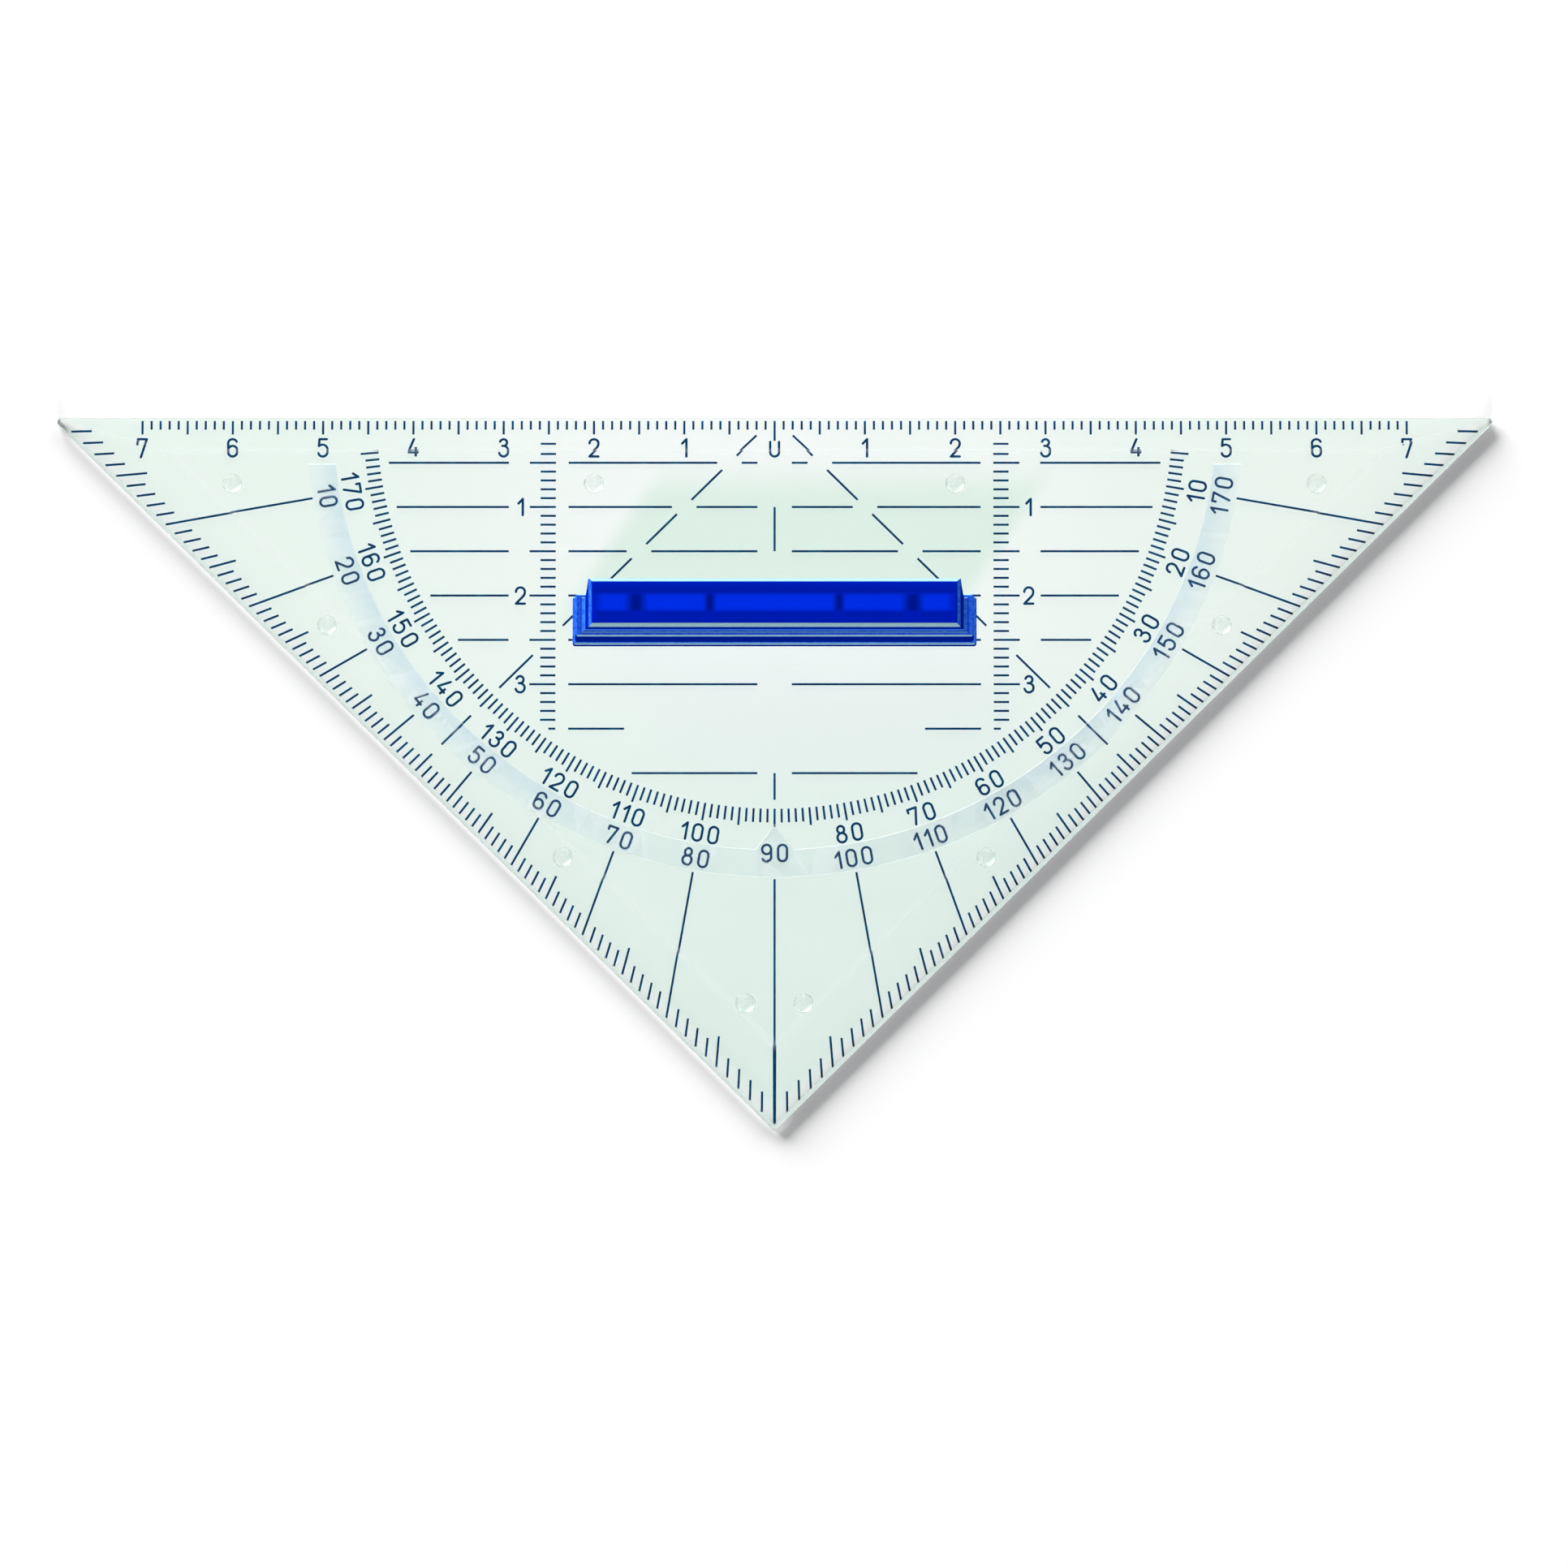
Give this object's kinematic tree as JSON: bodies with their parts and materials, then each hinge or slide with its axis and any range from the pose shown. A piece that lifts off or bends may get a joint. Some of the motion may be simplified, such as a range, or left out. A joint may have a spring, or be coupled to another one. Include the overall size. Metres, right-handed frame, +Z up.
{
  "type": "geometry set square",
  "caption": "Clear right-angled set square with a centred ruler, a protractor, height scales and a lift-off blue handle.",
  "frame": {"origin": "on the paper, under the middle of the triangular outline's bounding box", "axes": "+X along the long drawing edge, +Y from the right-angled corner towards that edge, +Z up from the paper"},
  "size_m": [0.1588, 0.0798, 0.0136],
  "materials": {
    "clear_plastic": "polished clear plastic, faintly green",
    "blue_plastic": "glossy translucent blue plastic",
    "band_tint": "thin translucent blue tint",
    "scale_ink": "dark blue printing ink"
  },
  "bodies": {
    "plate_body": {"plate": "clear_plastic", "protractor_band": "band_tint", "ruler_ticks": "scale_ink", "ruler_numerals": "scale_ink", "zero_mark": "scale_ink", "protractor_ticks": "scale_ink", "inner_degree_numerals": "scale_ink", "outer_degree_numerals": "scale_ink", "angle_rays": "scale_ink", "half_right_angle_marks": "scale_ink", "right_leg_ticks": "scale_ink", "left_leg_ticks": "scale_ink", "right_height_scale": "scale_ink", "left_height_scale": "scale_ink", "height_numerals": "scale_ink", "right_parallel_lines": "scale_ink", "left_parallel_lines": "scale_ink", "middle_parallel_lines": "scale_ink", "diagonal_lines": "scale_ink", "centre_line": "scale_ink"},
    "handle_body": {"grip_handle": "blue_plastic"}
  },
  "joints": [
    {"name": "handle_lift", "type": "slide", "parent": "plate_body", "child": "handle_body", "axis": [0, 0, 1], "range_m": [0, 0.015]}
  ]
}
